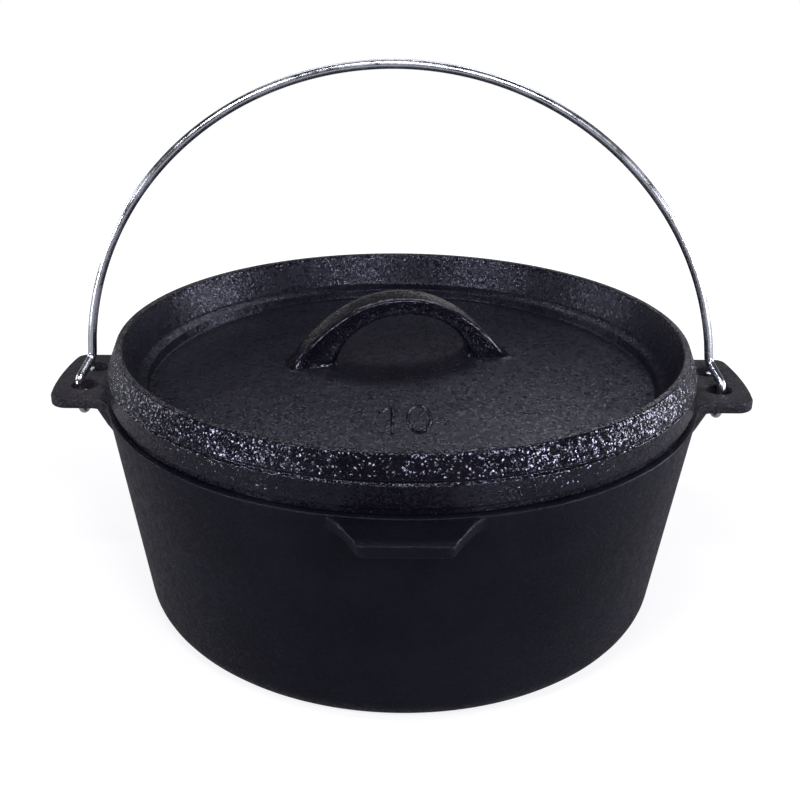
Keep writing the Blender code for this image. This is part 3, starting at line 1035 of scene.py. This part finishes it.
class Graph:
    """The nodes of a material or a world, added and joined by short calls."""

    def __init__(self, owner: bpy.types.ID, main: str = "Principled BSDF") -> None:
        """Opens the nodes.

        Args:
            owner: The material or the world.
            main: The name of its shader node.
        """
        owner.use_nodes = True
        self.owner = owner
        self.tree = owner.node_tree
        self.shader = self.tree.nodes[main]
        self.coordinates = self.add("ShaderNodeTexCoord").outputs
        self.place = self.coordinates["Object"]

    def feed(self, node: bpy.types.Node, sources: dict) -> None:
        """Joins outputs to a node's inputs, or writes values to them.

        Args:
            node: The node.
            sources: What feeds each input, by its name or number.
        """
        for key, source in sources.items():
            if isinstance(source, Socket):
                self.tree.links.new(source, node.inputs[key])
            else:
                node.inputs[key].default_value = source

    def add(self, kind: str, sources: dict | None = None, **settings: object) -> bpy.types.Node:
        """Adds a node.

        Args:
            kind: The node's type.
            sources: What feeds each input, by its name or number.
            settings: Its properties by name.

        Returns:
            The node.
        """
        node = self.tree.nodes.new(kind)
        for key, value in settings.items():
            setattr(node, key, value)
        self.feed(node, sources or {})
        return node

    def noise(self, grain: Grain) -> Socket:
        """Adds fractal noise over the piece."""
        sources = {"Scale": grain.scale, "Detail": grain.detail, "Roughness": grain.rough}
        return self.add("ShaderNodeTexNoise", {"Vector": self.place, **sources}).outputs["Fac"]

    def facets(self, scale: float) -> Socket:
        """Adds sand grains that are small flat facets, each tilted its own way.

        Args:
            scale: How many grains there are to a metre.

        Returns:
            The relief in metres, for tilts of up to about 0.5.
        """
        cells = self.add("ShaderNodeTexVoronoi", {"Vector": self.place, "Scale": scale}).outputs
        middle = (0.5, 0.5, 0.5)
        tilt = self.add("ShaderNodeVectorMath", {0: cells["Color"], 1: middle}, operation="SUBTRACT")
        reach = self.add("ShaderNodeVectorMath", {0: self.place, 1: cells["Position"]}, operation="SUBTRACT")
        sources = {0: tilt.outputs["Vector"], 1: reach.outputs["Vector"]}
        return self.add("ShaderNodeVectorMath", sources, operation="DOT_PRODUCT").outputs["Value"]

    def math(self, operation: str, first: object, second: object = 0.0) -> Socket:
        """Adds a sum of two values."""
        return self.add("ShaderNodeMath", {0: first, 1: second}, operation=operation).outputs[0]

    def split(self, vector: Socket) -> list[Socket]:
        """Returns a vector's X, Y and Z."""
        return list(self.add("ShaderNodeSeparateXYZ", {0: vector}).outputs)

    def parts(self) -> tuple[Socket, Socket, Socket]:
        """Measures where each point of the piece is.

        Returns:
            Its X, its distance from the Z axis and its height.
        """
        x, y, z = self.split(self.place)
        squares = self.math("ADD", self.math("MULTIPLY", x, x), self.math("MULTIPLY", y, y))
        return x, self.math("SQRT", squares), z

    def span(self, value: Socket, edges: Pair, ends: Pair = (0.0, 1.0), smooth: bool = True) -> Socket:
        """Maps a span of values to another one, and holds its ends beyond it.

        Args:
            value: The value to map.
            edges: The span's start and end.
            ends: What they become.
            smooth: Whether the change eases in and out.

        Returns:
            The mapped value.
        """
        kind = "SMOOTHSTEP" if smooth else "LINEAR"
        sources = dict(enumerate((value, *edges, *ends)))
        return self.add("ShaderNodeMapRange", sources, interpolation_type=kind).outputs[0]

    def blend(self, share: object, first: object, second: object) -> Socket:
        """Mixes two colours by a share."""
        first, second = [c if isinstance(c, Socket) else (*c, 1.0) for c in (first, second)]
        return self.add("ShaderNodeMix", {"Factor": share, 6: first, 7: second}, data_type="RGBA").outputs[2]

    def mix(self, share: object, first: object, second: object) -> Socket:
        """Mixes two values by a share."""
        return self.add("ShaderNodeMix", {"Factor": share, 2: first, 3: second}, data_type="FLOAT").outputs[0]

    def bump(self, height: Socket, distance: float, strength: float, under: Socket | None = None) -> Socket:
        """Adds relief to the surface.

        Args:
            height: The relief.
            distance: How many metres a height of 1 stands for.
            strength: How much of it counts.
            under: The normal of a coarser relief below this one.

        Returns:
            The new normal.
        """
        sources = {"Strength": strength, "Distance": distance, "Height": height}
        if under is not None:
            sources["Normal"] = under
        return self.add("ShaderNodeBump", sources).outputs["Normal"]


@dataclass(frozen=True)
class Skin:
    """How one zone of the iron looks.

    dark and light are the ends of its colour, tilt is how far its sand grains lean, and lumps is the depth
    of the softer relief between them in metres. smooth and rough are its roughness under thick and thin
    baked oil, and gloss is its specular level.
    """

    dark: Point
    light: Point
    tilt: float
    lumps: float
    smooth: float
    rough: float
    gloss: float


WALL_SKIN = Skin((0.0029, 0.0029, 0.0052), (0.0056, 0.0055, 0.0092), 0.26, 0.00012, 0.30, 0.46, 0.14)
PLATE_SKIN = Skin((0.0120, 0.0106, 0.0118), (0.0320, 0.0282, 0.0300), 0.80, 0.00050, 0.34, 0.56, 0.20)
RIM_SKIN = Skin((0.0020, 0.0018, 0.0036), (0.0044, 0.0039, 0.0068), 0.44, 0.00016, 0.09, 0.22, 0.38)
PANEL_SKIN = Skin((0.0050, 0.0048, 0.0082), (0.0090, 0.0086, 0.0134), 0.26, 0.00012, 0.22, 0.40, 0.30)
STRAP_SKIN = Skin((0.0018, 0.0016, 0.0032), (0.0036, 0.0032, 0.0056), 0.22, 0.00010, 0.08, 0.20, 0.50)


@dataclass(frozen=True)
class IronFinish:
    """Black seasoned cast iron, with sand grains under a thin skin of baked oil.

    The main skin covers the casting, and each zone lays its own skin over a part of it.
    """

    name: str
    main: Skin
    zones: tuple[tuple[Callable[[Graph], Socket], Skin], ...]
    grain: float = 1500.0
    lumps: Grain = Grain(675.0)
    waves: Grain = Grain(38.0)
    wave_depth: float = 0.0010
    wave_strength: float = 0.35
    patches: Grain = Grain(24.0, 4.0, 0.6)
    patch_span: Pair = (0.32, 0.70)
    oil: Grain = Grain(320.0, 3.0, 0.65)
    oil_span: Pair = (0.34, 0.66)
    tint: Point = (0.80, 0.80, 1.0)

    def make(self) -> bpy.types.Material:
        """Builds the material.

        Returns:
            The material.
        """
        graph = Graph(bpy.data.materials.new(self.name))
        layers = [(zone(graph), skin) for zone, skin in self.zones]

        def level(part: str) -> object:
            """Returns one of the skins' values by its name, each laid over the others by zone."""
            value: object = getattr(self.main, part)
            for share, skin in layers:
                value = graph.mix(share, value, getattr(skin, part))
            return value

        normal = graph.bump(graph.noise(self.waves), self.wave_depth, self.wave_strength)
        rounded = graph.math("MULTIPLY", graph.noise(self.lumps), level("lumps"))
        grains = graph.math("MULTIPLY", graph.facets(self.grain), level("tilt"))
        normal = graph.bump(graph.math("ADD", rounded, grains), distance=1.0, strength=1.0, under=normal)
        patches = graph.span(graph.noise(self.patches), self.patch_span)
        colour = graph.blend(patches, self.main.dark, self.main.light)
        for share, skin in layers:
            colour = graph.blend(share, colour, graph.blend(patches, skin.dark, skin.light))
        oil = graph.span(graph.noise(self.oil), self.oil_span)
        sources = {
            "Base Color": colour,
            "Roughness": graph.mix(oil, level("smooth"), level("rough")),
            "Specular IOR Level": level("gloss"),
            "Specular Tint": (*self.tint, 1.0),
            "Normal": normal,
        }
        graph.feed(graph.shader, sources)
        return graph.owner


@dataclass(frozen=True)
class WireFinish:
    """Bright plated steel wire with a fine grain, faint waves and dull spots."""

    name: str
    colour: Point = (0.80, 0.82, 0.84)
    dull: Point = (0.50, 0.52, 0.54)
    shine: float = 0.12
    haze: float = 0.34
    spots: Grain = Grain(420.0, 3.0, 0.6)
    spot_span: Pair = (0.50, 0.72)
    waves: Grain = Grain(75.0)
    haze_span: Pair = (0.5, 0.95)
    grain: Grain = Grain(900.0, 2.0, 0.6)

    def make(self) -> bpy.types.Material:
        """Builds the material.

        Returns:
            The material.
        """
        graph = Graph(bpy.data.materials.new(self.name))
        spots = graph.noise(self.spots)
        waves = graph.noise(self.waves)
        clouds = graph.math("ADD", waves, graph.math("MULTIPLY", spots, 0.5))
        fine = graph.bump(graph.noise(self.grain), distance=0.00006, strength=0.5)
        sources = {
            "Base Color": graph.blend(graph.span(spots, self.spot_span), self.colour, self.dull),
            "Roughness": graph.span(clouds, self.haze_span, (self.shine, self.haze)),
            "Normal": graph.bump(waves, distance=0.0005, strength=0.25, under=fine),
            "Metallic": 1.0,
        }
        graph.feed(graph.shader, sources)
        return graph.owner


@dataclass(frozen=True)
class Lamp:
    """One soft lamp: its bearing and rise in degrees, its distance and size in metres, and its watts."""

    name: str
    bearing: float
    rise: float
    away: float
    size: Pair
    power: float


LAMPS = (
    Lamp("low_left", -60, 2, 1.2, (0.20, 0.16), 5.6),
    Lamp("low_right", 56, 2, 1.2, (0.20, 0.16), 7.4),
    Lamp("high_left", -38, 36, 1.2, (0.30, 0.20), 6.0),
    Lamp("high_right", 22, 36, 1.2, (0.30, 0.20), 6.0),
    Lamp("over_front", -8, 62, 1.1, (0.30, 0.08), 2.6),
    Lamp("side_left", -104, 12, 1.1, (0.30, 0.30), 2.2),
    Lamp("side_right", 98, 10, 1.1, (0.30, 0.30), 6.0),
    Lamp("back_top", 180, 52, 0.95, (0.90, 0.20), 2.2),
    Lamp("back_right", 150, 40, 1.0, (0.40, 0.30), 0.9),
)


@dataclass
class Studio:
    """The plain floor, the soft lamps, the white surround and the camera."""

    eye: Point = (-0.0012, -0.4724, 0.2937)
    pitch: float = math.radians(67.76300)
    roll: float = math.radians(0.7027)
    swing: float = math.radians(-0.6)
    lens: float = 49.52
    shift_y: float = -0.0279
    nearest: float = 0.01
    aim: Point = (0.0, 0.0, 0.09)
    cool: Point = (0.88, 0.88, 1.0)
    gloss_level: float = 0.035
    backdrop_gloss: float = 0.50
    backdrop_top: Pair = (0.05, 0.18)
    backdrop_side: float = 0.5
    plain_level: float = 0.10
    floor_radius: float = 1.6
    floor_paper: float = 0.24
    floor_rough: float = 0.75
    floor_shine: float = 0.1
    floor_white: float = 0.80
    floor_fade: Pair = (0.20, 0.60)
    floor_gloss: float = 0.04

    def camera(self) -> None:
        """Places the camera at the photograph's viewing angle."""
        data = bpy.data.cameras.new("camera")
        data.lens = self.lens
        data.sensor_fit = "HORIZONTAL"
        data.shift_y = self.shift_y
        data.clip_start = self.nearest
        camera = bpy.data.objects.new("camera", data)
        bpy.context.scene.collection.objects.link(camera)
        tilt = Matrix.Rotation(self.pitch, 4, "X") @ Matrix.Rotation(self.roll, 4, "Z")
        camera.matrix_world = Matrix.Rotation(self.swing, 4, "Z") @ Matrix.Translation(self.eye) @ tilt
        bpy.context.scene.camera = camera

    def surround(self) -> None:
        """Makes the surround white to the eye, and to gloss a white backdrop low behind in a dim room."""
        world = bpy.data.worlds.new("surround")
        graph = Graph(world, "Background")
        rays = graph.add("ShaderNodeLightPath").outputs
        _, back, up = graph.split(graph.coordinates["Generated"])
        low = graph.span(up, self.backdrop_top, (1.0, 0.0), smooth=False)
        behind = graph.span(back, (0.0, self.backdrop_side), smooth=False)
        drop = graph.math("MULTIPLY", graph.math("MULTIPLY", low, behind), self.backdrop_gloss)
        gloss = graph.math("MULTIPLY", graph.math("MAXIMUM", drop, self.gloss_level), rays["Is Glossy Ray"])
        glass = graph.math("MAXIMUM", rays["Is Camera Ray"], rays["Is Transmission Ray"])
        plain = graph.math("MULTIPLY", rays["Is Diffuse Ray"], self.plain_level)
        level = graph.math("MAXIMUM", graph.math("MAXIMUM", gloss, glass), plain)
        graph.feed(graph.shader, {"Color": (1, 1, 1, 1), "Strength": level})
        bpy.context.scene.world = world

    def floor(self) -> None:
        """Lays the pale floor, which is lifted to white for the eye but keeps the shadow."""
        Bench.clear()
        bpy.ops.mesh.primitive_circle_add(vertices=96, radius=self.floor_radius, fill_type="NGON")
        piece = bpy.context.object
        piece.name = "floor"
        graph = Graph(bpy.data.materials.new("floor_paper"))
        rays = graph.add("ShaderNodeLightPath").outputs
        length = graph.add("ShaderNodeVectorMath", {0: graph.place}, operation="LENGTH").outputs["Value"]
        white = graph.span(length, self.floor_fade, (self.floor_white, 1.0))
        seen = graph.math("MULTIPLY", rays["Is Camera Ray"], white)
        shone = graph.math("MULTIPLY", rays["Is Glossy Ray"], self.floor_gloss)
        sources = {
            "Base Color": (*[self.floor_paper] * 3, 1.0),
            "Roughness": self.floor_rough,
            "Specular IOR Level": self.floor_shine,
            "Emission Color": (1, 1, 1, 1),
            "Emission Strength": graph.math("ADD", seen, shone),
        }
        graph.feed(graph.shader, sources)
        piece.data.materials.append(graph.owner)

    def lamps(self) -> None:
        """Hangs the soft lamps round the pot, each by its bearing and its height over the ground."""
        aim = Vector(self.aim)
        for lamp in LAMPS:
            data = bpy.data.lights.new(lamp.name, "AREA")
            data.shape = "RECTANGLE"
            data.size, data.size_y = lamp.size
            data.energy = lamp.power
            data.color = self.cool
            light = bpy.data.objects.new(lamp.name, data)
            bpy.context.scene.collection.objects.link(light)
            turn = math.radians(lamp.bearing)
            lift = math.radians(lamp.rise)
            flat = lamp.away * math.cos(lift)
            away = Vector((flat * math.sin(turn), -flat * math.cos(turn), lamp.away * math.sin(lift)))
            light.location = aim + away
            light.rotation_euler = (-away).to_track_quat("-Z", "Y").to_euler()

    def build(self) -> None:
        """Sets up the whole studio."""
        self.camera()
        self.surround()
        self.floor()
        self.lamps()
        bpy.context.scene.view_settings.view_transform = "Standard"


def dress(piece: Piece, material: bpy.types.Material, body: Body, node: str) -> None:
    """Gives a piece its finish and ties it to the frame.

    Args:
        piece: The finished piece.
        material: Its material.
        body: The body that it rides on.
        node: The CAD node that it stands for.
    """
    piece.data.materials.clear()
    piece.data.materials.append(material)
    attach(piece, body.value)
    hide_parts(node)
    LOG.info("%s: %d faces, on %s", piece.name, len(piece.data.polygons), body.value)


def write_sizes() -> None:
    """Updates the view layer, so that the pieces' places are current."""
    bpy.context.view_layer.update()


def main() -> None:
    """Builds the studio, the pot, the lid and the bail in order."""
    logging.basicConfig(level=logging.INFO, format="%(name)s: %(message)s")
    Studio().build()
    pot = PotCasting()
    lid = LidCasting()
    pot_iron = IronFinish("pot_iron_seasoned", WALL_SKIN, ((pot.plate_zone, PLATE_SKIN),)).make()
    lid_zones = ((lid.tray_zone, PANEL_SKIN), (lid.strap_zone, STRAP_SKIN))
    lid_iron = IronFinish("lid_iron_seasoned", RIM_SKIN, lid_zones).make()
    wire = WireFinish("wire_bright_plated").make()
    dress(pot.build(), pot_iron, Body.POT, "pot")
    dress(lid.build(), lid_iron, Body.LID, "lid")
    dress(WireBail().build(), wire, Body.BAIL, "bail")
    write_sizes()


if __name__ == "__main__":
    main()
